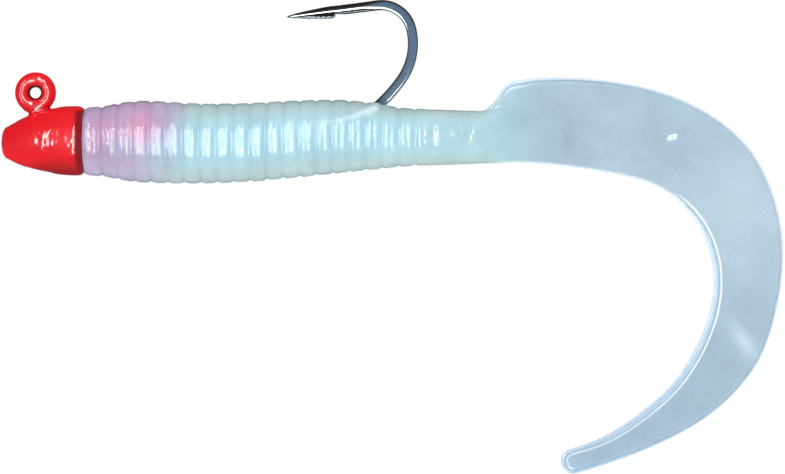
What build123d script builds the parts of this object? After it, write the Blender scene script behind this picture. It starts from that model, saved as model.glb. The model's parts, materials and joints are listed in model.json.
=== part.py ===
from build123d import *
import os
from math import cos, degrees, radians, sin, sqrt

# A soft curly-tail worm threaded on a painted jig hook.
# Millimetres. The origin is the centre of the line eye. +X runs back along the shank towards the
# tail, +Z runs up towards the hook point, and the whole rig is symmetrical about the XZ plane.

# ---- line eye and hook wire ----
wire_radius = 0.75
eye_radius = 2.0  # to the middle of the wire
eye_land = 0.05  # depth of the narrow flat land inside the painted eye
neck_offset = 0.57  # the neck stands this far behind the eye's centre
shank_drop = 7.2  # from the eye's centre down to the shank
neck_bend_radius = 1.6
shank_end = 37.3  # where the straight shank turns into the bend
lower_bend_radius = 21.4
lower_bend_turn = 55.7
rear_bend_radius = 9.3
rear_bend_turn = 48.8
upper_bend_radius = 4.6
point_slope = 7.3  # the point runs this far below level, back over the shank
point_run = 5.0  # full-thickness wire before the taper
point_taper = 8.7
point_tip_radius = 0.06
barb_back = 7.3  # barb tip to hook point
barb_drop = 1.1  # barb tip below the middle of the wire
barb_root = 2.2
barb_notch = 6.4
barb_width = 0.5
forged_press = 0.13  # depth of the flats pressed on both sides of the bend
forged_reach = 15.3  # the flats begin this far behind the straight shank
forged_bottom = 7.2  # their lower and upper ends above the shank
forged_top = 18.2

# ---- lead head, keeper and paint ----
nose_ahead = 5.1  # nose tip ahead of the line eye
head_length = 12.1
head_radius = 5.25
head_shoulder = 1.2  # rounding of the rear rim
# share of the head's length behind the nose, share of its radius there
head_outline = [(0.075, 0.44), (0.215, 0.63), (0.46, 0.84), (0.71, 0.97)]
paint_thickness = 0.3
paint_flare_radius = 2.1  # paint pooled at the foot of the eye's neck
paint_flare_sink = 2.8  # its foot above the shank
paint_flare_overlap = 0.75  # its top reaches this far up into the painted eye
keeper_radius = 1.5
keeper_length = 9.9
keeper_barb_radius = 2.5
keeper_barb_length = 3.0
keeper_tip_radius = 1.25

# ---- worm body ----
body_gap = 0.15  # between the head's rear face and the worm
rib_pitch = 2.47
rib_count = 21
rib_groove = 0.28
rib_shoulder = 0.17  # share of a rib taken by each of its rounded shoulders
rib_dip = 0.06
# share of the round body's length, radius of the crests there
body_girth = [(0, 5.15), (0.04, 5.3), (0.09, 5.85), (0.14, 6.18), (0.295, 6.05), (0.55, 5.8),
              (0.675, 5.4), (0.8, 4.5), (0.88, 4.2), (1.0, 3.85), (1.12, 3.4)]
# share of the round body's length, middle of the section above the shank
body_bow = [(0, -0.08), (0.14, -0.12), (0.295, -0.4), (0.42, -0.2), (0.55, 0.33),
            (0.675, 0.7), (0.8, 0.55), (1.12, 0.52)]
shank_grip = 0.02  # the plastic stands this far off the steel and lead inside it
hook_exit_rise = 5.3  # the hook leaves the worm's back this far above the shank
hook_exit_margin = 0.6  # worm left behind the hook's exit before the first body joint
body_joint_spacing = 9.4
neck_length = 4.8  # from the second body joint to where the round body begins to flatten
tongue_length = 6.6
tongue_overlap = 1.0  # the tongue runs this far into the flat ribbon
body_joint_gap = 0.3

# ---- ribbon tail ----
ribbon_thickness = 1.5
ribbon_root_rise = 2.92  # middle of the ribbon's root above the shank
ribbon_heading = 3.0
ribbon_arcs = [(68.0, -17.0), (20.8, -87.0), (27.5, -46.0), (53.0, -16.0)]  # radius, turn
# share of the ribbon's length, width there
ribbon_widths = [(0.0, 12.4), (0.25, 13.1), (0.5, 10.6), (0.75, 7.2), (0.9, 4.3), (1.0, 3.1)]
ribbon_shoulder_rise = 2.2  # height of the outer edge half way up the root's shoulder
ribbon_joints = [(3.0, "sway"), (13.0, "curl"), (23.0, "sway"), (33.0, "curl"), (42.0, "sway"),
                 (51.0, "curl"), (60.0, "sway"), (69.0, "sway"), (77.5, "sway")]
ribbon_joint_gap = 0.15
curl_joint_gap = 0.3
edge_points = 5  # spline points along one side of a ribbon segment

painted_wire = wire_radius + paint_thickness
eye_bore_radius = eye_radius - painted_wire + eye_land
nose_x = -nose_ahead
head_back = nose_x + head_length
body_front = head_back + body_gap
ribbed_length = rib_count * rib_pitch

# places along the worm, behind its front face
exit_reach = sqrt(hook_exit_rise * (2 * lower_bend_radius - hook_exit_rise))
body_sway_place = shank_end + exit_reach + hook_exit_margin - body_front
tail_nod_place = body_sway_place + body_joint_spacing
tongue_start = tail_nod_place + neck_length
tongue_x = body_front + tongue_start
past_body = 5 * head_radius  # cutting shapes are this wide, well clear of the body
ribbon_start = tongue_x + tongue_length - tongue_overlap


def between(stations, place):
    """Value at a place, on straight lines between (place, value) stations."""
    if place <= stations[0][0]:
        return stations[0][1]
    for (low, low_value), (high, high_value) in zip(stations, stations[1:]):
        if place <= high:
            return low_value + (high_value - low_value) * (place - low) / (high - low)
    return stations[-1][1]


def straight(length):
    """A straight run, as (length, turn)."""
    return (length, 0.0)


def arc(radius, turn):
    """A bend of one radius, as (length, turn in degrees, anticlockwise seen from -Y)."""
    return (radius * radians(abs(turn)), turn)


def run_length(runs):
    """Length along a chain of runs."""
    return sum(length for length, turn in runs)


def along(start, heading, runs, distance):
    """X, Z and heading at a distance along a chain of tangent runs in the XZ plane."""
    x, z = start
    left = distance
    for length, turn in runs:
        step = min(left, length)
        if turn:
            radius = length / radians(turn)
            turned = heading + degrees(step / radius)
            x += radius * (sin(radians(turned)) - sin(radians(heading)))
            z -= radius * (cos(radians(turned)) - cos(radians(heading)))
            heading = turned
        else:
            x += step * cos(radians(heading))
            z += step * sin(radians(heading))
        left -= step
        if left <= 0:
            break
    return x, z, heading


def level(x, z):
    """A point of the XZ plane as a 3D point."""
    return (x, 0, z)


def path(start, heading, runs):
    """The chain of runs as one wire."""
    edges = []
    done = 0.0
    for length, turn in runs:
        ends = [along(start, heading, runs, done + length * share)[:2] for share in (0, 0.5, 1)]
        points = [level(x, z) for x, z in ends]
        if turn:
            edges.append(ThreePointArc(*points))
        else:
            edges.append(Line(points[0], points[2]))
        done += length
    return Wire(edges)


def turned_profile(outline, axis_height):
    """Solid of revolution about an axis along +X from (x, radius) edges drawn at Z = radius."""
    face = Plane.XZ * make_face(outline)
    return Pos(0, 0, axis_height) * revolve(face, Axis.X)


# ---- hook ----

hook_start = (neck_offset, -eye_radius + wire_radius / 4)
neck_drop = shank_drop + hook_start[1] - neck_bend_radius
shank_run = shank_end - neck_offset - neck_bend_radius
upper_bend_turn = 180 + point_slope - lower_bend_turn - rear_bend_turn
hook_runs = [
    straight(neck_drop),
    arc(neck_bend_radius, 90),
    straight(shank_run),
    arc(lower_bend_radius, lower_bend_turn),
    arc(rear_bend_radius, rear_bend_turn),
    arc(upper_bend_radius, upper_bend_turn),
    straight(point_run),
]


def hook_wire(radius):
    """Round wire from the eye's foot to the start of the point's taper."""
    route = path(hook_start, -90, hook_runs)
    section = Plane(origin=level(*hook_start), z_dir=(0, 0, -1)) * Circle(radius)
    return sweep(section, path=route)


def hook_point():
    """Tapered point with its barb, in place at the end of the wire."""
    x, z, heading = along(hook_start, -90, hook_runs, run_length(hook_runs))
    direction = (cos(radians(heading)), 0, sin(radians(heading)))
    middle = Plane(origin=level(x, z), z_dir=direction)
    taper = middle * Pos(0, 0, point_taper / 2) * Cone(wire_radius, point_tip_radius, point_taper)
    tip_x = x + point_taper * direction[0]
    tip_z = z + point_taper * direction[2]

    def from_tip(back, drop):
        return (tip_x - back * direction[0] - drop * direction[2],
                tip_z - back * direction[2] + drop * direction[0])

    corners = [from_tip(barb_root, 0), from_tip(barb_back, barb_drop), from_tip(barb_notch, 0)]
    barb = extrude(Plane.XZ * make_face(Polyline(*corners, close=True)), barb_width / 2, both=True)
    return taper + barb


def jig_hook():
    """Closed line eye, neck, shank, bend pressed flat on both sides, barb and point."""
    eye = Rot(90, 0, 0) * Torus(eye_radius, wire_radius)
    hook = eye + hook_wire(wire_radius) + hook_point()
    die = Box(2 * lower_bend_radius, wire_radius, forged_top - forged_bottom)
    die_x = shank_end + forged_reach + lower_bend_radius
    die_y = wire_radius - forged_press + wire_radius / 2
    die_z = (forged_top + forged_bottom) / 2 - shank_drop
    return hook - Pos(die_x, die_y, die_z) * die - Pos(die_x, -die_y, die_z) * die


# ---- head ----

def head_shape(inset):
    """Bullet head, drawn in by the same amount all over."""
    tip = (nose_x + inset, 0)
    rim_x = head_back - head_shoulder
    rim = (rim_x, head_radius - inset)
    rear = (head_back - inset, head_radius - head_shoulder)
    knots = [
        (nose_x + place * head_length, girth * head_radius - inset)
        for place, girth in head_outline
    ]
    front = Spline(tip, *knots, rim, tangents=[(0, 1), (1, 0)])
    turn = 0.7071 * (head_shoulder - inset)
    shoulder = ThreePointArc(rim, (rim_x + turn, head_radius - head_shoulder + turn), rear)
    back = Line(rear, (rear[0], 0))
    axis = Line((rear[0], 0), tip)
    return turned_profile([front, shoulder, back, axis], -shank_drop)


def keeper_shape(grow):
    """Collar behind the head with a one-way barb that the worm is pushed over."""
    back = head_back - paint_thickness
    end = back + keeper_length
    barb_x = end - keeper_barb_length
    outline = Polyline(
        (back - head_shoulder, 0),
        (back - head_shoulder, keeper_radius + grow),
        (barb_x - grow, keeper_radius + grow),
        (barb_x - grow, keeper_barb_radius + grow),
        (end + grow, keeper_tip_radius + grow),
        (end + grow, 0),
        close=True,
    )
    return turned_profile(outline, -shank_drop)


def lead_head(hook):
    """Lead cast round the hook's neck bend, with the keeper in one piece."""
    return head_shape(paint_thickness) + keeper_shape(0) - hook


def paint_coat(head, hook):
    """Skin of paint over the head and the line eye, pooled at the foot of the eye's neck."""
    ring = Rot(90, 0, 0) * Torus(eye_radius, painted_wire)
    flare_foot = paint_flare_sink - shank_drop
    flare_top = paint_flare_overlap - eye_radius - painted_wire
    flare = Pos(neck_offset, 0, (flare_foot + flare_top) / 2) * Cone(
        paint_flare_radius, painted_wire, flare_top - flare_foot)
    bore = Rot(90, 0, 0) * Cylinder(eye_bore_radius, 4 * eye_radius)
    return head_shape(0) + ring + flare - bore - head - hook


# ---- worm body ----

def body_radius(place):
    """Radius over the crests at a distance behind the worm's front face."""
    return between(body_girth, place / tongue_start)


def body_middle(place):
    """Middle of the body's section at a distance behind its front face."""
    height = between(body_bow, place / tongue_start) - shank_drop
    return (body_front + place, 0, height)


def body_section(place, depth):
    """Circle across the body at a distance behind its front face, sunk by a depth."""
    section = Plane(origin=body_middle(place), z_dir=(1, 0, 0))
    return section * Circle(body_radius(place) - depth)


def body_round():
    """The round body with all its ribs and the plain taper behind them."""
    sections = []
    for rib in range(rib_count):
        front = rib * rib_pitch
        sections.append(body_section(front, rib_groove))
        sections.append(body_section(front + rib_shoulder * rib_pitch, 0))
        sections.append(body_section(front + 0.5 * rib_pitch, rib_dip))
        sections.append(body_section(front + (1 - rib_shoulder) * rib_pitch, 0))
    sections.append(body_section(ribbed_length, rib_groove))
    plain_length = tongue_start + tongue_length - ribbed_length
    for step in (0.1, 0.4, 0.7, 1.0):
        sections.append(body_section(ribbed_length + step * plain_length, 0))
    return loft(sections, ruled=True)


def slab(low, high):
    """Block that holds everything between two distances behind the front face."""
    middle = (low + high) / 2
    return Pos(body_front + middle, 0, -shank_drop) * Box(high - low, past_body, past_body)


def body_barrel(place, gap, upright):
    """Cylinder of the body's own radius across a body joint, upright or level."""
    barrel = Cylinder(body_radius(place) + gap, past_body)
    if not upright:
        barrel = Rot(90, 0, 0) * barrel
    return Pos(*body_middle(place)) * barrel


def worm_body_front(body, hook):
    """Front of the worm, threaded on the shank, with its rounded end at the first joint."""
    kept = slab(-1, body_sway_place) + body_barrel(body_sway_place, 0, True)
    return (body & kept) - hook_wire(wire_radius + shank_grip) - keeper_shape(shank_grip)


def worm_body_rear(body):
    """Last ribs behind the hook's exit, between the two body joints."""
    kept = slab(body_sway_place, tail_nod_place) + body_barrel(tail_nod_place, 0, False)
    return (body & kept) - body_barrel(body_sway_place, body_joint_gap, True)


# ---- ribbon tail ----

ribbon_root = (ribbon_start, ribbon_root_rise - shank_drop)
ribbon_runs = [arc(radius, turn) for radius, turn in ribbon_arcs]
ribbon_length = run_length(ribbon_runs)


def ribbon_width(distance):
    """Width of the ribbon at a distance from its root."""
    return between(ribbon_widths, distance / ribbon_length)


def ribbon_edge(distance, side):
    """Point on the outer (+1) or inner (-1) edge of the ribbon."""
    x, z, heading = along(ribbon_root, ribbon_heading, ribbon_runs, distance)
    reach = side * ribbon_width(distance) / 2
    return (x - reach * sin(radians(heading)), z + reach * cos(radians(heading)))


def edge_line(low, high, side):
    """Edge of the ribbon between two distances, as a smooth curve."""
    steps = range(edge_points)
    places = [low + (high - low) * step / (edge_points - 1) for step in steps]
    return Spline(*[ribbon_edge(place, side) for place in places])


def ribbon_plate(low, high):
    """Flat plate of the ribbon between two distances."""
    outer = edge_line(low, high, 1)
    inner = edge_line(low, high, -1)
    ends = [Line(outer @ 0, inner @ 0), Line(outer @ 1, inner @ 1)]
    face = Plane.XZ * make_face([outer, inner, *ends])
    return extrude(face, ribbon_thickness / 2, both=True)


def ribbon_knuckle(distance, kind, gap):
    """Rounded end at a ribbon joint: a thin rod for a sway, a flat disc for a curl."""
    x, z, heading = along(ribbon_root, ribbon_heading, ribbon_runs, distance)
    width = ribbon_width(distance)
    if kind == "curl":
        depth = ribbon_thickness + 4 * gap
        return Pos(x, 0, z) * Rot(90, 0, 0) * Cylinder(width / 2 + gap, depth)
    across = (-sin(radians(heading)), 0, cos(radians(heading)))
    rod = Cylinder(ribbon_thickness / 2 + gap, width + 8 * gap)
    return Plane(origin=level(x, z), z_dir=across) * rod


def joint_gap(kind):
    """Clearance round a ribbon knuckle."""
    return curl_joint_gap if kind == "curl" else ribbon_joint_gap


def tail_neck(body):
    """Round taper behind the ribs that flattens into the root of the ribbon."""
    end = tongue_start + tongue_length
    flat_x = body_front + end
    half = head_radius * 1.5
    thin = ribbon_thickness / 2 + 0.15
    shaving = Polyline((body_front, -half), (tongue_x, -half / 2), (flat_x, -thin),
                       (flat_x, thin), (tongue_x, half / 2), (body_front, half), close=True)
    wedge = extrude(make_face(shaving), past_body, both=True)
    tongue = body & slab(tail_nod_place, end) & wedge

    root_radius = body_radius(tongue_start)
    root_z = body_middle(tongue_start)[2]
    top = ribbon_edge(0, 1)
    bottom = ribbon_edge(0, -1)
    shoulder_x = (tongue_x + top[0]) / 2
    upper = Spline((tongue_x, root_z + root_radius), (shoulder_x, ribbon_shoulder_rise + root_z
                   + root_radius), top, tangents=[(1, 0), (1, 0)])
    lower = Line((tongue_x, root_z - root_radius), bottom)
    ends = [Line(upper @ 0, lower @ 0), Line(upper @ 1, lower @ 1)]
    root = extrude(Plane.XZ * make_face([upper, lower, *ends]), ribbon_thickness / 2, both=True)

    first, kind = ribbon_joints[0]
    neck = tongue + root + ribbon_plate(0, first) + ribbon_knuckle(first, kind, 0)
    return neck - body_barrel(tail_nod_place, body_joint_gap, False)


def ribbon_segment(index):
    """One flex segment of the ribbon, hollowed at its root end and rounded at its far end."""
    low, low_kind = ribbon_joints[index]
    last = index == len(ribbon_joints) - 1
    high = ribbon_length if last else ribbon_joints[index + 1][0]
    plate = ribbon_plate(low, high)
    if last:
        x, z, heading = along(ribbon_root, ribbon_heading, ribbon_runs, high)
        tip = Rot(90, 0, 0) * Cylinder(ribbon_width(high) / 2, ribbon_thickness)
        plate += Pos(x, 0, z) * tip
    else:
        plate += ribbon_knuckle(high, ribbon_joints[index + 1][1], 0)
    return plate - ribbon_knuckle(low, low_kind, joint_gap(low_kind))


def save(shape, node):
    """Write one sub-part under its node's name."""
    solids = shape.solids()
    whole = solids[0] if len(solids) == 1 else Compound(children=solids)
    whole.label = node
    export_step(whole, f"parts/{node}.step")


def main():
    """Build every sub-part and write it."""
    os.makedirs("parts", exist_ok=True)
    hook = jig_hook()
    head = lead_head(hook)
    body = body_round()
    save(hook, "jig_hook")
    save(head, "lead_head")
    save(paint_coat(head, hook), "paint_coat")
    save(worm_body_front(body, hook), "worm_body_front")
    save(worm_body_rear(body), "worm_body_rear")
    save(tail_neck(body), "tail_neck")
    for index in range(len(ribbon_joints)):
        save(ribbon_segment(index), f"tail_ribbon_{index + 1}")


if __name__ == "__main__":
    main()
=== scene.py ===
"""A ribbed soft-plastic worm with a curled ribbon tail, threaded on a painted jig hook.

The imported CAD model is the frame. The worm, the hook and the enamelled head are rebuilt here as
finished meshes in that frame, in metres: +X runs back towards the tail, +Z up towards the point.
"""

from __future__ import annotations

import json
import logging
from dataclasses import dataclass, field
from enum import Enum
from math import atan2, cos, degrees, exp, hypot, pi, radians, sin, sqrt

import bpy
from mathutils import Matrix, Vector, noise

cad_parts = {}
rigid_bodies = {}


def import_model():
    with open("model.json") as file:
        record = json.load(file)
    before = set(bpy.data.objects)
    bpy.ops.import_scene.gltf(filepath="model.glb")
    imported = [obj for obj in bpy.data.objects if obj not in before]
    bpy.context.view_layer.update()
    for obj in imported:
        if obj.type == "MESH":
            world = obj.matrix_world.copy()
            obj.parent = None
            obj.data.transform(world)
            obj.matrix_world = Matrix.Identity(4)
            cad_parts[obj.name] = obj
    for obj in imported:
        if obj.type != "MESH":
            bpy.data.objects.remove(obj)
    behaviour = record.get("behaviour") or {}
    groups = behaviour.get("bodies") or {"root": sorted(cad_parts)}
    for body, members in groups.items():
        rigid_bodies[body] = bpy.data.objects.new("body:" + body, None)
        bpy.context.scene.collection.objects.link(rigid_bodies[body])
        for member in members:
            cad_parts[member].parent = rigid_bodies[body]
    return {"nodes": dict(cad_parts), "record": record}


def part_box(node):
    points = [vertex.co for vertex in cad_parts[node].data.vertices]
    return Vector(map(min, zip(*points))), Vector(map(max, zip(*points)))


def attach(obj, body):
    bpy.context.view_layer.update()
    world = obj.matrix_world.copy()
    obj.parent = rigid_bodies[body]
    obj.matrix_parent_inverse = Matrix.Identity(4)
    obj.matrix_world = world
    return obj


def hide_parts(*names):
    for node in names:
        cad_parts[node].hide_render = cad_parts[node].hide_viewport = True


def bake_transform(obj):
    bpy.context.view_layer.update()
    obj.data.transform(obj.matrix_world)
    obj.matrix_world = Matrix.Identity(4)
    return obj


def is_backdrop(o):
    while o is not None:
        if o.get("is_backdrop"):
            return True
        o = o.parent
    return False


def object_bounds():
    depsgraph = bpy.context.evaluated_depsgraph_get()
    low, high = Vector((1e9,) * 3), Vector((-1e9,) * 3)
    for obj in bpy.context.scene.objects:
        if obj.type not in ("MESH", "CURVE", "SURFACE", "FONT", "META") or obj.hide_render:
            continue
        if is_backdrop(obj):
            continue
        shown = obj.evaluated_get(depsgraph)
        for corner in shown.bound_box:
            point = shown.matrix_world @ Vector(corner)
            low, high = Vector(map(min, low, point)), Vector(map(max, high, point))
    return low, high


MM = 0.001
LOG = logging.getLogger("worm")

Point = tuple[float, float]
Stations = tuple[tuple[float, float], ...]
Colour = tuple[float, float, float, float]


# ---- small helpers -------------------------------------------------------------------------------


def linear(hex_code: str) -> Colour:
    """Turn an sRGB hex value into a linear colour.

    Args:
        hex_code: Six hex digits, such as "ec1d26".

    Returns:
        Red, green, blue and an alpha of 1, all linear.
    """
    channels = [int(hex_code[i : i + 2], 16) / 255 for i in (0, 2, 4)]
    red, green, blue = (c / 12.92 if c <= 0.04045 else ((c + 0.055) / 1.055) ** 2.4 for c in channels)
    return (red, green, blue, 1.0)


def ease(share: float) -> float:
    """Smooth step from 0 at 0 to 1 at 1, level beyond either end."""
    share = min(max(share, 0.0), 1.0)
    return share * share * (3 - 2 * share)


def bell(offset: float, width: float) -> float:
    """Smooth bump of height 1 at an offset of 0 that fades over a width."""
    return exp(-((offset / width) ** 2))


def flowing(stations: Stations, place: float) -> float:
    """Value on a smooth curve through stations.

    Args:
        stations: Places in rising order, each with its value.
        place: Where the value is wanted.

    Returns:
        The value, held level beyond either end.
    """
    last = len(stations) - 1
    if place <= stations[0][0]:
        return stations[0][1]
    if place >= stations[last][0]:
        return stations[last][1]
    index = max(i for i in range(last) if stations[i][0] <= place)
    (x0, y0), (x1, y1) = stations[index], stations[index + 1]
    before, after = stations[max(index - 1, 0)], stations[min(index + 2, last)]
    slope0 = (y1 - before[1]) / (x1 - before[0])
    slope1 = (after[1] - y0) / (after[0] - x0)
    t = (place - x0) / (x1 - x0)
    span = x1 - x0
    return (
        (2 * t**3 - 3 * t**2 + 1) * y0
        + (t**3 - 2 * t**2 + t) * span * slope0
        + (3 * t**2 - 2 * t**3) * y1
        + (t**3 - t**2) * span * slope1
    )


def add_node(tree: bpy.types.NodeTree, kind: str, settings: dict | None = None,
             links: dict | None = None) -> bpy.types.Node:
    """Add one node with its settings and the links into it.

    Args:
        tree: Node tree that takes the node.
        kind: Blender's identifier for the node.
        settings: Attribute names or input sockets, each with its value.
        links: Input sockets, each with the output socket that feeds it.

    Returns:
        The new node.
    """
    node = tree.nodes.new(kind)
    for name, value in (settings or {}).items():
        if isinstance(name, int) or name in node.inputs:
            node.inputs[name].default_value = value
        else:
            setattr(node, name, value)
    for name, source in (links or {}).items():
        tree.links.new(source, node.inputs[name])
    return node


def empty_material(name: str) -> tuple[bpy.types.Material, bpy.types.NodeTree]:
    """Start a material with no nodes in its tree.

    Args:
        name: The material's name.

    Returns:
        The material and its tree.
    """
    material = bpy.data.materials.new(name)
    material.use_nodes = True
    material.node_tree.nodes.clear()
    return material, material.node_tree


def new_object(name: str, vertices: list[Vector], faces: list[list[int]]) -> bpy.types.Object:
    """Make a smooth-shaded mesh object.

    Args:
        name: The piece's name.
        vertices: Corners in metres.
        faces: Corner indices of each face.

    Returns:
        The object, linked to the scene.
    """
    mesh = bpy.data.meshes.new(name)
    mesh.from_pydata(vertices, [], faces)
    mesh.validate()
    mesh.shade_smooth()
    piece = bpy.data.objects.new(name, mesh)
    bpy.context.scene.collection.objects.link(piece)
    return piece


def ring_faces(first: int, second: int, count: int) -> list[list[int]]:
    """Faces between two closed rings of the same number of corners.

    Args:
        first: Index of the first ring's first corner.
        second: Index of the second ring's first corner.
        count: Corners in each ring.

    Returns:
        The four corners of each face.
    """
    return [
        [first + i, first + (i + 1) % count, second + (i + 1) % count, second + i]
        for i in range(count)
    ]


@dataclass(frozen=True)
class Route:
    """A chain of tangent arcs and straight runs in the rig's upright mid-plane.

    Attributes:
        start: X and Z of the first point, in millimetres.
        heading: Direction at the start, in degrees above +X.
        runs: Length in millimetres and turn in degrees of each run.
    """

    start: Point
    heading: float
    runs: Stations

    @property
    def length(self) -> float:
        """Length along the whole chain."""
        return sum(length for length, _ in self.runs)

    def at(self, distance: float) -> tuple[float, float, float]:
        """X, Z and heading at a distance along the chain.

        Args:
            distance: Millimetres from the start.

        Returns:
            X and Z in millimetres, and the heading in degrees.
        """
        x, z = self.start
        heading = self.heading
        left = distance
        for length, turn in self.runs:
            step = min(left, length)
            if turn:
                radius = length / radians(turn)
                turned = heading + degrees(step / radius)
                x += radius * (sin(radians(turned)) - sin(radians(heading)))
                z -= radius * (cos(radians(turned)) - cos(radians(heading)))
                heading = turned
            else:
                x += step * cos(radians(heading))
                z += step * sin(radians(heading))
            left -= step
            if left <= 0:
                break
        if left > 0:
            x += left * cos(radians(heading))
            z += left * sin(radians(heading))
        return x, z, heading


def bend(radius: float, turn: float) -> Point:
    """One arc of a route, as its length and turn."""
    return (radius * radians(abs(turn)), turn)


class Light(Enum):
    """What a studio light is for: it fills softly, or it is only seen mirrored.

    A mirrored light is kept off the bright hook, which would glare. A plate light is there for the
    hook alone, and a body light for the ribbed body alone.
    """

    SOFT = "soft"
    MIRRORED = "mirrored"
    PLATE = "plate"
    BODY = "body"


class Tint(Enum):
    """Tints of the worm, in the order they lie over its body colour. Those for back and belly, the
    flanges, the edges, the step and beside it are painted light and shade.
    """

    FLANK_SHADE = "flank_shade"
    LAVENDER = "lavender"
    BLUSH = "blush"
    RIBBON = "ribbon"
    RIM = "rim"
    EDGE_LIGHT = "edge_light"
    CREASE = "step_shade"
    GLEAM = "gleam"
    STRESS = "stress"


# ---- finishes ------------------------------------------------------------------------------------


@dataclass(frozen=True)
class PouredPlastisol:
    """Soft PVC plastisol, poured hot into an aluminium mould.

    It is milk-white with plasticiser oil on its skin: colour seems to lie under the surface, thin
    places let light through, and the oily skin gives soft wet highlights.
    """

    name: str = "poured_plastisol"
    body: str = "b0d8e4"
    # Painted shade, darker and greener, towards back and belly, and a greyer tone over the neck.
    flank_shade: str = "b5c9c7"
    lavender: str = "bda6c6"
    blush: str = "d99fbd"
    ribbon: str = "abc0cb"
    # Painted light through the thin flanges of the ribbon.
    rim: str = "cde1ee"
    # Painted light along the very edges, over a broad patch of the ribbon and along the larger kink.
    edge_light: str = "edf6fb"
    # Painted shade: a dark line at the flange's step; it also darkens the ribbon's last part.
    step_shade: str = "9bb3c8"
    gleam: str = "eaf4fa"
    stress: str = "e6f4f8"
    dirt: str = "4c4a48"
    cloud_mm: float = 6.0
    wave_mm: float = 1.1
    bubble_mm: float = 0.45
    dust_mm: float = 9.0
    speck_share: tuple[float, float] = (0.012, 0.03)
    roughness: float = 0.26
    ior: float = 1.5
    under_gloss: float = 0.12
    oil_roughness: float = 0.08
    oil_ior: float = 1.45
    light_through: float = 0.3

    def make(self) -> bpy.types.Material:
        """Build the material.

        Returns:
            The finish, ready to assign.
        """
        material, tree = empty_material(self.name)
        rest = add_node(tree, "ShaderNodeAttribute", {"attribute_name": "rest"}).outputs["Vector"]
        cloud = add_node(
            tree, "ShaderNodeTexNoise",
            {"Scale": 1 / (self.cloud_mm * MM), "Detail": 4.0, "Roughness": 0.6}, {"Vector": rest},
        ).outputs["Fac"]
        skin_wave = add_node(
            tree, "ShaderNodeTexNoise",
            {"Scale": 1 / (self.wave_mm * MM), "Detail": 2.0}, {"Vector": rest},
        ).outputs["Fac"]
        bubbles = add_node(
            tree, "ShaderNodeTexNoise",
            {"Scale": 1 / (self.bubble_mm * MM), "Detail": 3.0, "Roughness": 0.7}, {"Vector": rest},
        ).outputs["Fac"]
        dust = add_node(
            tree, "ShaderNodeTexVoronoi", {"Scale": 1 / (self.dust_mm * MM)}, {"Vector": rest}
        ).outputs["Distance"]
        speck_core, speck_edge = self.speck_share
        speck = add_node(
            tree, "ShaderNodeMapRange",
            {"From Min": speck_core, "From Max": speck_edge, "To Min": 0.6, "To Max": 0.0},
            {"Value": dust},
        ).outputs["Result"]

        colour = None
        for tint in Tint:
            amount = add_node(
                tree, "ShaderNodeAttribute", {"attribute_name": tint.value}
            ).outputs["Fac"]
            colour = self._layer(tree, amount, colour, self.body, getattr(self, tint.value))
            if tint is Tint.RIBBON:
                for pattern, least, most in ((cloud, 0.92, 1.07), (bubbles, 0.95, 1.05)):
                    mottle = add_node(
                        tree, "ShaderNodeMapRange",
                        {"From Min": 0.3, "From Max": 0.7, "To Min": least, "To Max": most},
                        {"Value": pattern},
                    ).outputs["Result"]
                    colour = add_node(
                        tree, "ShaderNodeVectorMath", {"operation": "SCALE"},
                        {0: colour, "Scale": mottle},
                    ).outputs["Vector"]
        colour = self._layer(tree, speck, colour, self.body, self.dirt)

        dimple = add_node(
            tree, "ShaderNodeBump", {"Strength": 0.5, "Distance": 0.035 * MM}, {"Height": skin_wave}
        ).outputs["Normal"]
        skin = add_node(
            tree, "ShaderNodeBsdfPrincipled",
            {
                "Roughness": self.roughness,
                "IOR": self.ior,
                "Specular IOR Level": self.under_gloss,
                "Coat Weight": 1.0,
                "Coat Roughness": self.oil_roughness,
                "Coat IOR": self.oil_ior,
            },
            {"Base Color": colour, "Normal": dimple, "Coat Normal": dimple},
        ).outputs["BSDF"]
        through = add_node(tree, "ShaderNodeBsdfTranslucent", {}, {"Color": colour}).outputs["BSDF"]
        mixed = add_node(
            tree, "ShaderNodeMixShader", {"Fac": self.light_through}, {1: skin, 2: through}
        ).outputs["Shader"]
        add_node(tree, "ShaderNodeOutputMaterial", {}, {"Surface": mixed})
        return material

    @staticmethod
    def _layer(tree: bpy.types.NodeTree, amount: bpy.types.NodeSocket,
               under: bpy.types.NodeSocket | None, low: str,
               high: str) -> bpy.types.NodeSocket:
        """Lay one colour over another by an amount painted on the mesh.

        Args:
            tree: The material's tree.
            amount: Socket with the share of the upper colour.
            under: Socket of the colour underneath, or None to use low.
            low: Hex of the colour underneath where there is no socket.
            high: Hex of the upper colour.

        Returns:
            The mixed colour's socket.
        """
        settings = {"data_type": "RGBA", 6: linear(low), 7: linear(high)}
        links = {0: amount}
        if under is not None:
            links[6] = under
        return add_node(tree, "ShaderNodeMix", settings, links).outputs[2]


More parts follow.
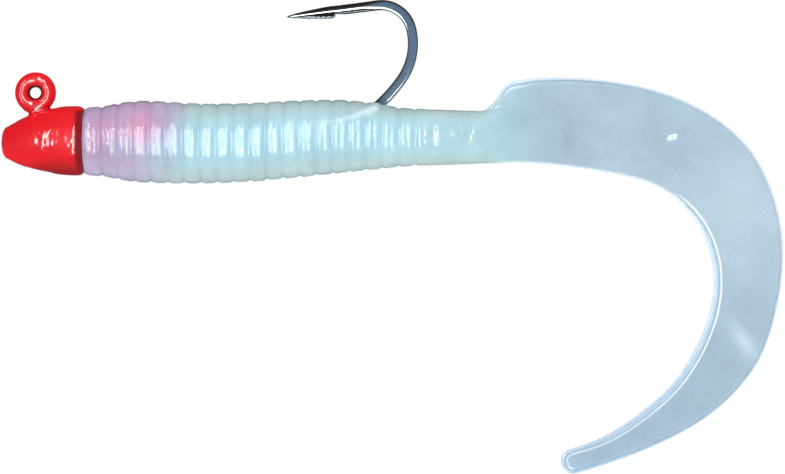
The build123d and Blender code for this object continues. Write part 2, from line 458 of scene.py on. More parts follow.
@dataclass(frozen=True)
class BakedEnamel:
    """Powder paint baked on warm lead: a heavy glassy coat, a little uneven where it pooled. Painted
    shade darkens it at the rear rim, underneath and in the eye's bore.
    """

    name: str = "baked_enamel"
    colour: str = "d60c19"
    pooled: str = "b90b17"
    # Red of the painted shade.
    shade_red: str = "5e090e"
    orange_peel_mm: float = 0.9
    under_roughness: float = 0.5
    under_gloss: float = 0.1
    ior: float = 1.5
    roughness: float = 0.09

    def make(self) -> bpy.types.Material:
        """Build the material.

        Returns:
            The finish, ready to assign.
        """
        material, tree = empty_material(self.name)
        place = add_node(tree, "ShaderNodeTexCoord").outputs["Object"]
        peel = add_node(
            tree, "ShaderNodeTexNoise",
            {"Scale": 1 / (self.orange_peel_mm * MM), "Detail": 2.0}, {"Vector": place},
        ).outputs["Fac"]
        even = add_node(
            tree, "ShaderNodeMapRange",
            {"From Min": 0.3, "From Max": 0.55, "To Min": 0.75, "To Max": 1.0}, {"Value": peel},
        ).outputs["Result"]
        cover = add_node(
            tree, "ShaderNodeMix",
            {"data_type": "RGBA", 6: linear(self.pooled), 7: linear(self.colour)}, {0: even},
        ).outputs[2]
        # Painted shade: darker enamel at the rear rim, underneath and in the eye's bore.
        enamel_shade = add_node(tree, "ShaderNodeAttribute", {"attribute_name": "enamel_shade"}).outputs["Fac"]
        cover = add_node(
            tree, "ShaderNodeMix", {"data_type": "RGBA", 7: linear(self.shade_red)}, {0: enamel_shade, 6: cover}
        ).outputs[2]
        ripple = add_node(
            tree, "ShaderNodeBump", {"Strength": 0.25, "Distance": 0.05 * MM}, {"Height": peel}
        ).outputs["Normal"]
        skin = add_node(
            tree, "ShaderNodeBsdfPrincipled",
            {
                "Roughness": self.under_roughness,
                "IOR": self.ior,
                "Specular IOR Level": self.under_gloss,
                "Coat Weight": 1.0,
                "Coat Roughness": self.roughness,
            },
            {"Base Color": cover, "Normal": ripple, "Coat Normal": ripple},
        ).outputs["BSDF"]
        add_node(tree, "ShaderNodeOutputMaterial", {}, {"Surface": skin})
        return material


@dataclass(frozen=True)
class NickelPlate:
    """Bright nickel plated on drawn steel wire: mirror-like, a little duller where it was handled."""

    name: str = "nickel_plate"
    colour: str = "c9ccd0"
    wear_mm: float = 1.44
    roughness: float = 0.08

    def make(self) -> bpy.types.Material:
        """Build the material.

        Returns:
            The finish, ready to assign.
        """
        material, tree = empty_material(self.name)
        place = add_node(tree, "ShaderNodeTexCoord").outputs["Object"]
        wear = add_node(
            tree, "ShaderNodeTexNoise",
            {"Scale": 1 / (self.wear_mm * MM), "Detail": 3.0}, {"Vector": place},
        ).outputs["Fac"]
        rough = add_node(
            tree, "ShaderNodeMapRange",
            {"To Min": self.roughness * 0.6, "To Max": self.roughness * 1.5}, {"Value": wear},
        ).outputs["Result"]
        skin = add_node(
            tree, "ShaderNodeBsdfPrincipled",
            {"Base Color": linear(self.colour), "Metallic": 1.0}, {"Roughness": rough},
        ).outputs["BSDF"]
        add_node(tree, "ShaderNodeOutputMaterial", {}, {"Surface": skin})
        return material


@dataclass(frozen=True)
class CastLead:
    """Gravity-cast lead: dull blue-grey with a faint frosted grain from the mould."""

    name: str = "cast_lead"
    colour: str = "74787d"
    frost_mm: float = 0.4

    def make(self) -> bpy.types.Material:
        """Build the material.

        Returns:
            The finish, ready to assign.
        """
        material, tree = empty_material(self.name)
        place = add_node(tree, "ShaderNodeTexCoord").outputs["Object"]
        frost = add_node(
            tree, "ShaderNodeTexNoise", {"Scale": 1 / (self.frost_mm * MM)}, {"Vector": place}
        ).outputs["Fac"]
        grain = add_node(
            tree, "ShaderNodeBump", {"Strength": 0.3, "Distance": 0.03 * MM}, {"Height": frost}
        ).outputs["Normal"]
        skin = add_node(
            tree, "ShaderNodeBsdfPrincipled",
            {"Base Color": linear(self.colour), "Metallic": 1.0, "Roughness": 0.5},
            {"Normal": grain},
        ).outputs["BSDF"]
        add_node(tree, "ShaderNodeOutputMaterial", {}, {"Surface": skin})
        return material


# ---- the worm ------------------------------------------------------------------------------------


@dataclass(frozen=True)
class Section:
    """One section across the worm, from its inner (lower) edge to its outer (upper) edge.

    Attributes:
        place: Distance along the worm from its front face, in millimetres.
        inner: X and Z of the inner edge.
        outer: X and Z of the outer edge.
        core_middle: Middle of the round core, from the inner edge.
        core_reach: Half the core's height.
        core_depth: Half the core's thickness, or 0 where it has faded out.
        flat: How much the section belongs to the flat tail, from 0 to 1.
        past_end: How far it stands beyond the middle of the rounded tail tip.
    """

    place: float
    inner: Point
    outer: Point
    core_middle: float
    core_reach: float
    core_depth: float
    flat: float
    past_end: float = 0.0

    @property
    def width(self) -> float:
        """Distance from edge to edge."""
        return hypot(self.outer[0] - self.inner[0], self.outer[1] - self.inner[1])

    @property
    def middle(self) -> Vector:
        """Middle of the section.

        Returns:
            Halfway between its edges, in metres.
        """
        x = (self.inner[0] + self.outer[0]) / 2
        z = (self.inner[1] + self.outer[1]) / 2
        return Vector((x, 0, z)) * MM

    def point(self, offset: float) -> Point:
        """X and Z at an offset from the inner edge."""
        share = offset / max(self.width, 1e-6)
        return (
            self.inner[0] + (self.outer[0] - self.inner[0]) * share,
            self.inner[1] + (self.outer[1] - self.inner[1]) * share,
        )


@dataclass(frozen=True)
class Kink:
    """One kink that lying in a packet left in the flat tail, sizes in mm.

    Attributes:
        x: Place of its middle along the rig.
        z: Height of its middle.
        slant: Direction that it runs in, in degrees above +X.
        rise: How far it lifts the tail on one side, and lowers it on the other.
        width: Distance to either side over which it fades.
        reach: Distance along its run over which it fades.
    """

    x: float
    z: float
    slant: float
    rise: float
    width: float
    reach: float

    def from_middle(self, x: float, z: float) -> Point:
        """Distances along and across its run, from its middle.

        Args:
            x: Place along the rig.
            z: Height.

        Returns:
            Both distances.
        """
        turn = radians(self.slant)
        along = (x - self.x) * cos(turn) + (z - self.z) * sin(turn)
        across = (x - self.x) * sin(turn) - (z - self.z) * cos(turn)
        return along, across

    def lift(self, x: float, z: float) -> float:
        """How far it lifts the tail at a spot.

        Args:
            x: Place along the rig.
            z: Height.

        Returns:
            The lift, 0 well away from the kink.
        """
        along, across = self.from_middle(x, z)
        if abs(across) >= 3 * self.width or abs(along) >= 3 * self.reach:
            return 0.0
        return self.rise * across / self.width * bell(across, self.width) * bell(along, self.reach)


@dataclass
class Worm:
    """The moulded worm: ribbed body, smooth neck and curled ribbon tail, all sizes in mm.

    Places along the worm count from its front face, and distances along the ribbon from its root.
    A height across the worm runs from -1 at the lower or inner edge to 1 at the upper or outer.

    Attributes:
        joints: Name, position in metres and the two bodies of each bending joint, front to back.
        front: X of the front face.
        axis_z: Height of the hook's shank, which the body is threaded on.
        ribbon_root: X and Z of the middle of the ribbon's root.
    """

    joints: list[dict]
    front: float
    axis_z: float
    ribbon_root: Point
    half_around: int = 64
    rib_pitch: float = 2.47
    rib_count: int = 21
    rings_per_rib: int = 16
    groove_depth: float = 0.36
    rib_dip: float = 0.085
    dip_reach: float = 0.38
    body_length: float = 59.0
    body_girth: Stations = (
        (0, 5.15), (2.4, 5.3), (5.4, 5.85), (8.4, 6.18), (17.4, 6.05), (32.4, 5.8),
        (39.9, 5.4), (47.4, 4.5), (51.9, 4.2), (59.4, 3.9), (66.0, 3.4),
    )
    body_bow: Stations = (
        (0, -0.08), (8.4, -0.12), (17.4, -0.4), (24.9, -0.2), (32.4, 0.33), (39.9, 0.7),
        (47.4, 0.55), (66.0, 0.52),
    )
    tongue_length: float = 13.0
    ribbon_heading: float = 3.0
    ribbon_runs: Stations = (bend(68.0, -17), bend(20.8, -87), bend(27.5, -46), bend(53.0, -16))
    ribbon_length: float = 90.0
    outer_reach: Stations = (
        (0, 6.0), (4, 6.5), (16, 6.8), (24, 6.5), (32, 6.4), (38, 5.6), (46, 4.65), (52, 4.3),
        (60, 4.55), (66, 4.1), (74, 3.25), (84, 2.45), (90, 2.3),
    )
    inner_reach: Stations = (
        (0, 6.15), (12, 6.75), (34, 6.7), (44, 6.25), (54, 5.45), (64, 4.5), (74, 3.1),
        (84, 1.75), (90, 1.5),
    )
    ribbon_step: float = 0.55
    panel_half: float = 0.75
    flange_half: float = 0.4
    outer_flange: Stations = ((-4, 0.7), (2, 0.6), (10, 0.42), (30, 0.32), (60, 0.4), (90, 0.55))
    inner_flange: Stations = (
        (0, 0.1), (25, 0.12), (31, 0.32), (37, 0.6), (46, 0.74), (68, 0.9), (82, 0.85), (90, 0.5),
    )
    step_reach: float = 0.28
    edge_round: float = 0.25
    fillet: float = 0.9
    hook_exit: Point = (51.45, -1.6)
    pucker_rise: float = 0.32
    pucker_reach: float = 0.95
    nub_rise: float = 0.3
    nub_reach: float = 0.55
    nub_side: float = 3.9
    dent_depth: float = 0.05
    grain_depth: float = 0.022
    sway_rise: float = 0.2
    sway_run: float = 8.5
    warp_rise: float = 0.25
    lavender_end: float = 8.0
    lavender_fade: float = 8.5
    blush_place: float = 8.8
    faint_blush_place: float = 3.2
    # Middle and reach of a broad whitish patch of painted sheen on the ribbon.
    sheen_spot: Point = (105.5, -17.5)
    sheen_reach: float = 9.0
    pull_length: float = 13.0
    still_behind_hook: float = 0.8
    seam_margin: float = 0.3
    last_bend: float = 4.5
    kinks: tuple[Kink, ...] = (
        Kink(106.0, -37.1, slant=-54.0, rise=0.16, width=2.3, reach=4.0),
        Kink(95.4, -6.7, slant=-80.0, rise=0.32, width=1.9, reach=0.5),
    )
    pieces: list[bpy.types.Object] = field(default_factory=list)

    # -- laws of the shape --

    @property
    def ribbed_length(self) -> float:
        """Length of the ribbed part."""
        return self.rib_count * self.rib_pitch

    @property
    def ribbon(self) -> Route:
        """Middle line of the ribbon tail."""
        return Route(self.ribbon_root, self.ribbon_heading, self.ribbon_runs)

    @property
    def root_place(self) -> float:
        """Distance along the worm to the ribbon's root."""
        return self.ribbon_root[0] - self.front

    def groove(self, place: float) -> float:
        """How far the surface lies below the crests.

        Args:
            place: Place along the body.

        Returns:
            The depth: each rib is a low barrel with a slight hollow along its crest.
        """
        fading = 1 - 0.85 * ease((place - self.ribbed_length + 3.6) / 3.4)
        if place > self.ribbed_length:
            return self.groove_depth * fading * (1 - ease((place - self.ribbed_length) / 1.4))
        phase = (place / self.rib_pitch) % 1.0
        from_crest = abs(2 * phase - 1)
        barrel = 0.75 * from_crest**2 + 0.25 * from_crest**5 - 0.1 * bell(1 - from_crest, 0.12)
        dip = self.rib_dip * bell(from_crest * self.rib_pitch / 2, self.dip_reach)
        number = int(place / self.rib_pitch)
        cut = 0.85 + 0.3 * abs(noise.noise(Vector((number * 1.7, 4.2, 0))))
        return (self.groove_depth * barrel * cut + dip) * fading

    def body_section(self, place: float) -> Section:
        """Round section of the body.

        Args:
            place: Place along the body.

        Returns:
            The section.
        """
        radius = flowing(self.body_girth, place) - self.groove(place)
        z = self.axis_z + flowing(self.body_bow, place)
        x = self.front + place
        return Section(place, (x, z - radius), (x, z + radius), radius, radius, radius, 0)

    def neck_section(self, place: float) -> Section:
        """Section where the round body turns into the ribbon's root.

        Args:
            place: Place along the worm.

        Returns:
            The section.
        """
        share = (place - self.body_length) / (self.root_place - self.body_length)
        start = self.body_section(self.body_length)
        inner_end, outer_end = self.ribbon_edges(0)
        rise = ease(share**1.25)
        outer = (
            start.outer[0] + (outer_end[0] - start.outer[0]) * share,
            start.outer[1] + (outer_end[1] - start.outer[1]) * rise,
        )
        inner = (
            start.inner[0] + (inner_end[0] - start.inner[0]) * share,
            start.inner[1] + (inner_end[1] - start.inner[1]) * share,
        )
        return self.with_core(place, inner, outer)

    def ribbon_edges(self, distance: float) -> tuple[Point, Point]:
        """Edges of the ribbon, which end in a half circle.

        Args:
            distance: Distance along the ribbon.

        Returns:
            X and Z of the inner and of the outer edge.
        """
        x, z, heading = self.ribbon.at(distance)
        outer, inner = flowing(self.outer_reach, distance), flowing(self.inner_reach, distance)
        past = distance - self.ribbon_length
        if past > 0:
            middle, reach = (outer - inner) / 2, (outer + inner) / 2
            reach = sqrt(max(reach**2 - past**2, 1e-4))
            outer, inner = middle + reach, reach - middle
        across = (-sin(radians(heading)), cos(radians(heading)))
        return (
            (x - across[0] * inner, z - across[1] * inner),
            (x + across[0] * outer, z + across[1] * outer),
        )

    def ribbon_section(self, distance: float) -> Section:
        """Flat section of the ribbon.

        Args:
            distance: Distance along the ribbon.

        Returns:
            The section.
        """
        inner, outer = self.ribbon_edges(distance)
        past = max(distance - self.ribbon_length, 0.0)
        return self.with_core(self.root_place + distance, inner, outer, past)

    def with_core(self, place: float, inner: Point, outer: Point, past: float = 0.0) -> Section:
        """Add the fading round tongue to a section of the flat tail.

        Args:
            place: Distance along the worm.
            inner: Inner edge point.
            outer: Outer edge point.
            past: Distance beyond the middle of the rounded tip.

        Returns:
            The whole section.
        """
        fade = min(max((place - self.body_length) / self.tongue_length, 0), 1)
        start = self.body_section(self.body_length)
        reach = start.core_reach * (1 + 0.15 * fade)
        depth = start.core_reach + (self.panel_half - start.core_reach) * (1 - (1 - fade) ** 2.2)
        if fade >= 1:
            depth = 0.0
        core_z = self.axis_z + flowing(self.body_bow, self.body_length)
        middle = core_z - inner[1]
        flat = ease((place - self.body_length) / 5)
        return Section(place, inner, outer, middle, reach, depth, flat, past)

    def flanges(self, section: Section) -> tuple[float, float]:
        """Width of the thin flange along the inner and the outer edge."""
        distance = section.place - self.root_place
        return flowing(self.inner_flange, distance), flowing(self.outer_flange, distance)

    def from_edge(self, section: Section, offset: float) -> tuple[float, float]:
        """Distance from the nearest edge and the flange's width there.

        Args:
            section: The section.
            offset: Distance from its inner edge.

        Returns:
            Both in millimetres.
        """
        inner, outer = self.flanges(section)
        if section.past_end:
            ends = self.ribbon_edges(self.ribbon_length)
            reach = hypot(ends[0][0] - ends[1][0], ends[0][1] - ends[1][1]) / 2
            aside = offset - section.width / 2
            return reach - hypot(section.past_end, aside), outer
        if offset - inner < section.width - offset - outer:
            return offset, inner
        return section.width - offset, outer

    def thickness(self, section: Section, offset: float) -> float:
        """Half thickness of a section.

        Args:
            section: The section.
            offset: Distance from its inner edge.

        Returns:
            The half thickness, with a fillet where the core meets the flat of the tail.
        """
        core = 0.0
        below = offset < section.core_middle
        reach = min(section.core_reach, section.core_middle) if below else section.core_reach
        swing = (offset - section.core_middle) / reach
        if section.core_depth and abs(swing) < 1:
            core = section.core_depth * sqrt(1 - swing * swing)
        if not section.flat:
            return core
        edge, flange = self.from_edge(section, offset)
        rise = ease((edge - flange) / self.step_reach)
        plate = self.flange_half + (self.panel_half - self.flange_half) * rise
        corner = 1 - min(max(edge, 0) / self.edge_round, 1)
        plate *= sqrt(max(1 - corner * corner, 0))
        meet = max(self.fillet - abs(core - plate), 0) / self.fillet
        return max(core, plate) + (meet * meet * self.fillet / 4 if core else 0)

    # -- building --

    def sections(self) -> list[Section]:
        """Lay out the sections, closest together where the shape turns fastest.

        Returns:
            All sections from the front face to the tail's tip.
        """
        step = self.rib_pitch / self.rings_per_rib
        found = [self.body_section(i * step) for i in range(self.rib_count * self.rings_per_rib + 1)]
        place = self.ribbed_length + 0.2
        while place < self.body_length:
            found.append(self.body_section(place))
            place += 0.35
        neck = self.root_place - self.body_length
        found += [self.neck_section(self.body_length + neck * i / 20) for i in range(20)]
        count = round(self.ribbon_length / self.ribbon_step)
        found += [self.ribbon_section(self.ribbon_length * i / count) for i in range(count + 1)]
        ends = self.ribbon_edges(self.ribbon_length)
        tip = hypot(ends[0][0] - ends[1][0], ends[0][1] - ends[1][1]) / 2
        past = [tip * sin(pi / 2 * i / 12) for i in range(1, 12)]
        return found + [self.ribbon_section(self.ribbon_length + beyond) for beyond in past]

    def spread(self, section: Section) -> list[float]:
        """Spread corners over a section, closer together at the flanges' steps.

        Args:
            section: The section.

        Returns:
            Offsets from the inner edge, from the outer edge's to the inner edge's.
        """
        count = self.half_around
        even = [section.width * (1 + cos(pi * i / count)) / 2 for i in range(count + 1)]
        if not section.flat:
            return even
        inner, outer = self.flanges(section)
        marks = []
        for flange in (outer, inner):
            top = max(flange, self.edge_round + 0.02)
            rounding = [self.edge_round * (1 - cos(pi / 2 * i / 8)) for i in range(8)]
            ledge = [self.edge_round + (top - self.edge_round) * i / 4 for i in range(4)]
            step = [top + self.step_reach * i / 6 for i in range(7)]
            marks.append(rounding + ledge + step)
        room = marks[0][-1] + marks[1][-1]
        squeeze = min(1.0, 0.8 * section.width / room)
        near_outer = [section.width - mark * squeeze for mark in marks[0]]
        near_inner = [mark * squeeze for mark in marks[1]]
        between = count + 1 - len(near_outer) - len(near_inner)
        gap = near_outer[-1] - near_inner[-1]
        panel = [near_outer[-1] - gap * (i + 1) / (between + 1) for i in range(between)]
        zoned = near_outer + panel + near_inner[::-1]
        return [a + (b - a) * section.flat for a, b in zip(even, zoned)]

    def ring(self, section: Section) -> list[Vector]:
        """Corners round one section.

        Args:
            section: The section.

        Returns:
            The corners in metres, starting at the outer edge.
        """
        offsets = self.spread(section)
        count = self.half_around
        corners = []
        for i in range(2 * count):
            offset = offsets[i if i <= count else 2 * count - i]
            depth = 0.0 if i in (0, count) else self.thickness(section, offset)
            side = 1 if i <= count else -1
            x, z = section.point(offset)
            corners.append(self.settle(Vector((x, side * depth, z)), section) * MM)
        return corners

    def settle(self, corner: Vector, section: Section) -> Vector:
        """Move one corner by the dents, puckers and waves that the moulding took on.

        Args:
            corner: The corner, in millimetres.
            section: The section it lies on.

        Returns:
            The moved corner.
        """
        tail = ease((section.place - self.body_length - 5) / 12)
        if tail:
            wave = self.sway_rise * sin(section.place / self.sway_run)
            wave += self.warp_rise * noise.noise(corner * 0.07)
            corner.y += tail * (wave + sum(kink.lift(corner.x, corner.z) for kink in self.kinks))
        if section.flat < 1:
            body = 1 - section.flat
            middle_z = (section.outer[1] + section.inner[1]) / 2
            outward = Vector((0, corner.y, corner.z - middle_z)).normalized()
            sag = self.dent_depth * noise.noise(
                Vector((corner.x * 0.9, corner.y * 0.5, corner.z * 0.5))
            )
            sag += self.grain_depth * noise.noise(corner * 1.9)
            corner += outward * sag * body * ease(section.place / 1.0)
            beside = hypot(corner.x - self.hook_exit[0], corner.y)
            if corner.z > middle_z:
                corner += outward * self.pucker_rise * bell(beside, self.pucker_reach) * body
            nub = hypot(corner.x - self.front - 0.5, corner.y + self.nub_side)
            if corner.z > middle_z and corner.y < 0:
                corner += outward * self.nub_rise * bell(nub, self.nub_reach)
        return corner

    def tints(self, corner: Vector, section: Section) -> dict[Tint, float]:
        """Shares of each tint at one corner, which the finish reads.

        Args:
            corner: The corner, in metres.
            section: The section it lies on.

        Returns:
            A share from 0 to 1 for each tint.
        """
        x, y, z = corner / MM
        place = section.place
        offset = hypot(x - section.inner[0], z - section.inner[1])
        height = (offset / max(section.width, 0.1)) * 2 - 1
        cloud = noise.noise(Vector((x, y, z)) * 0.22)
        middle_z = section.middle.z / MM
        rim, edge_light, step_shade, gleam = self.edge_tints(section, offset)
        # A broad whitish patch of painted sheen on the ribbon.
        sheen = 0.26 * bell(
            hypot(x - self.sheen_spot[0], z - self.sheen_spot[1]), self.sheen_reach
        )
        return {
            Tint.LAVENDER: self.lavender(place, height, cloud),
            Tint.BLUSH: self.blush(place, height),
            Tint.FLANK_SHADE: self.flank_shade(section, height),
            Tint.RIBBON: ease((place - self.body_length - 1.5) / 10.0),
            Tint.RIM: rim,
            # Painted light: along the very edge, a broad whitish patch, and the gleam along the
            # larger kink.
            Tint.EDGE_LIGHT: max(edge_light, sheen, self.kink_gleam(x, z)),
            Tint.CREASE: max(step_shade, 0.4 * ease((place - self.root_place - 52) / 26)),
            Tint.GLEAM: gleam,
            Tint.STRESS: self.stress(x, y, z, middle_z) if place < self.body_length else 0.0,
        }

    def lavender(self, place: float, height: float, cloud: float) -> float:
        """Share of the lavender that was poured in at the front.

        Args:
            place: Place along the worm.
            height: Height across it.
            cloud: Unevenness of the pour, about -1 to 1.

        Returns:
            The share, weaker just below the middle and along the belly.
        """
        drift = place - self.lavender_end - 2.2 * height + 2.5 * cloud
        share = 1 - ease(drift / self.lavender_fade)
        share *= 1 - 0.35 * bell(height + 0.15, 0.35) * ease((place - 2) / 3)
        return share * (1 - 0.3 * ease((-0.4 - height) / 0.5))

    def blush(self, place: float, height: float) -> float:
        """Share of the pink blush in the lavender.

        Args:
            place: Place along the worm.
            height: Height across it.

        Returns:
            The share, from a strong patch and a faint one ahead of it.
        """
        strong = bell(place - self.blush_place, 2.2) * bell(height - 0.35, 0.42)
        faint = bell(place - self.faint_blush_place, 2.6) * bell(height - 0.25, 0.5)
        return min(strong + 0.55 * faint, 1.0)

    def flank_shade(self, section: Section, height: float) -> float:
        """Share of the painted shade, darker and greener, where the body turns away towards back and
        belly.

        Args:
            section: The section.
            height: Height across it.

        Returns:
            The share, rising towards back and belly, and over the whole neck.
        """
        curve = ease((abs(height) - 0.3) / 0.6) * (0.35 + 0.65 * (1 - section.flat))
        return max(curve, 0.45 * ease((section.place - 42) / 14))

    def edge_tints(self, section: Section, offset: float) -> tuple[float, float, float, float]:
        """Shares of the painted light and shade that follow the edges of the flat tail.

        Args:
            section: The section.
            offset: Distance from its inner edge.

        Returns:
            Painted light over the thin flange, painted light along the very edge, a painted line of
            shade at the step, and a painted highlight beside it.
        """
        flat = section.flat
        edge, flange = self.from_edge(section, offset) if flat else (section.width, 0.0)
        # Painted light: the thin flange is coloured lighter.
        rim = (1 - ease((edge - flange + 0.1) / 0.3)) * flat if flange > 0.2 else 0.0
        # Painted light: a whitish line along the very edge.
        edge_light = (1 - ease(edge / 0.32)) * flat
        stepped = flat * ease((flange - 0.25) / 0.2)
        # Painted shade: a dark line at the foot of the step.
        step_shade = bell(edge - flange + 0.02, 0.12) * stepped
        gleam = bell(edge - flange - 0.26, 0.11) * stepped
        if offset > section.width / 2 and not section.past_end:
            along = section.place - self.root_place
            gleam *= 0.2 + 0.8 * bell(along + 1.5, 2.5) + 0.6 * bell(along - 31, 4)
        return rim, edge_light, step_shade, 0.8 * gleam

    def kink_gleam(self, x: float, z: float) -> float:
        """Whitish painted gleam along the tail's larger kink."""
        along, across = self.kinks[0].from_middle(x, z)
        return 0.42 * bell(across, 1.0) * bell(along - 0.4, 2.9)

    def stress(self, x: float, y: float, z: float, middle_z: float) -> float:
        """Whitening of the stretched plastic at the hook's exit, and its pull line ahead of it.

        Args:
            x: Place along the rig.
            y: Distance to the far side of the mid-plane.
            z: Height.
            middle_z: Height of the section's middle.

        Returns:
            The share of white.
        """
        if z < middle_z:
            return 0.0
        ahead = self.hook_exit[0] - x
        line_z = self.hook_exit[1] - 0.55 - 0.52 * max(ahead, 0) + 0.026 * max(ahead, 0) ** 2
        wobble = 0.15 * noise.noise(Vector((x * 1.3, 0, 7.7)))
        pull = 0.0
        if y < 0 and -0.5 < ahead < self.pull_length:
            width = 0.28 + 0.42 * bell(ahead, 3.2)
            pull = bell(z - line_z - wobble, width) * (1.0 - 0.075 * ahead)
            pull *= ease((ahead + 0.5) / 1.0)
        collar = bell(hypot(ahead, y), 1.3) * 0.9
        return min(max(pull, collar, 0.0), 1.0)

    def build(self, material: bpy.types.Material) -> list[bpy.types.Object]:
        """Build the worm as pieces that meet edge to edge, one across each bending joint.

        Args:
            material: Finish of the whole moulding.

        Returns:
            The pieces, front to back.
        """
        sections = self.sections()
        rings = [self.ring(section) for section in sections]
        paint = [[self.tints(c, s) for c in ring] for s, ring in zip(sections, rings)]
        seams = self.seams(sections)
        normals = self.whole_normals(rings)
        bounds = [0, *seams, len(rings) - 1]
        names = ["worm_front", "worm_rear_bend", "tail_neck_bend"]
        names += [f"tail_bend_{i}" for i in range(1, len(self.joints) - 1)]
        for index, name in enumerate(names):
            low, high = bounds[index], bounds[index + 1]
            piece = self.piece(name, rings, normals, paint, low, high)
            piece.data.materials.append(material)
            self.pieces.append(piece)
            if index:
                self.hang(piece, sections, rings, low, high, index)
            else:
                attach(piece, self.joints[0]["parent"])
            LOG.info("%s: rings %d to %d", name, low, high)
        return self.pieces

    def seams(self, sections: list[Section]) -> list[int]:
        """Where the pieces meet: each spans one bending joint.

        Args:
            sections: All sections.

        Returns:
            Ring numbers where one piece ends and the next begins.
        """
        at = []
        for joint in self.joints:
            spot = Vector(joint["pos_m"])
            gaps = [(section.middle - spot).length for section in sections]
            at.append(gaps.index(min(gaps)))
        first = at[0] - round(1.4 * self.rings_per_rib)
        return [first] + [(a + b) // 2 for a, b in zip(at, at[1:])]

    def whole_normals(self, rings: list[list[Vector]]) -> list[Vector]:
        """Normals of the uncut surface, so that no seam shows in the shading.

        Args:
            rings: Corners of every section.

        Returns:
            A normal for each corner.
        """
        whole = self.mesh_of("whole_worm", rings, 0, len(rings) - 1)
        normals = [v.normal.copy() for v in whole.data.vertices]
        bpy.data.objects.remove(whole)
        return normals

    def mesh_of(self, name: str, rings: list[list[Vector]], low: int, high: int) -> bpy.types.Object:
        """Mesh between two rings, closed where it is an end of the worm.

        Args:
            name: The mesh's name.
            rings: Corners of every section.
            low: First ring.
            high: Last ring.

        Returns:
            The mesh object.
        """
        around = 2 * self.half_around
        corners = [corner for ring in rings[low : high + 1] for corner in ring]
        faces = []
        for step in range(high - low):
            faces += ring_faces(step * around, (step + 1) * around, around)
        if low == 0:
            faces.append(list(range(around))[::-1])
        if high == len(rings) - 1:
            faces.append([(high - low) * around + i for i in range(around)])
        return new_object(name, corners, faces)

    def piece(self, name: str, rings: list[list[Vector]], normals: list[Vector],
              paint: list[list[dict[Tint, float]]], low: int, high: int) -> bpy.types.Object:
        """One piece of the worm, with its tints and the uncut surface's normals.

        Args:
            name: The piece's name.
            rings: Corners of every section.
            normals: Normals of the uncut surface.
            paint: Tints of every corner.
            low: First ring of the piece.
            high: Last ring of the piece.

        Returns:
            The piece.
        """
        around = 2 * self.half_around
        made = self.mesh_of(name, rings, low, high)
        mesh = made.data
        rest = mesh.attributes.new("rest", "FLOAT_VECTOR", "POINT")
        rest.data.foreach_set("vector", [c for v in mesh.vertices for c in v.co])
        for tint in paint[0][0]:
            layer = mesh.attributes.new(tint.value, "FLOAT", "POINT")
            layer.data.foreach_set(
                "value", [shares[tint] for ring in paint[low : high + 1] for shares in ring]
            )
        mesh.normals_split_custom_set_from_vertices(normals[low * around : (high + 1) * around])
        return made

    def hang(self, piece: bpy.types.Object, sections: list[Section], rings: list[list[Vector]],
             low: int, high: int, index: int) -> None:
        """Work out where a piece would bend between its seams, then bake its transform; nothing bends
        it.

        Args:
            piece: The piece.
            sections: All sections.
            rings: Corners of every section.
            low: First ring of the piece.
            high: Last ring of the piece.
            index: Number of the piece, counted from the front one at 0.
        """
        joint = self.joints[index - 1]
        start, end = sections[low].middle, sections[high].middle
        if index == 1:
            start = Vector((self.hook_exit[0] + self.still_behind_hook, 0, end.z / MM)) * MM
        direction = (end - start).normalized()
        if index > 1:
            furthest = max((c - start).dot(direction) for c in rings[low])
            start += direction * (furthest + self.seam_margin * MM)
        if index < len(self.joints):
            furthest = max((end - c).dot(direction) for c in rings[high])
            end -= direction * (furthest + self.seam_margin * MM)
        else:
            end = Vector(joint["pos_m"]) + direction * self.last_bend * MM
        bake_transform(piece)


# ---- the hook ------------------------------------------------------------------------------------


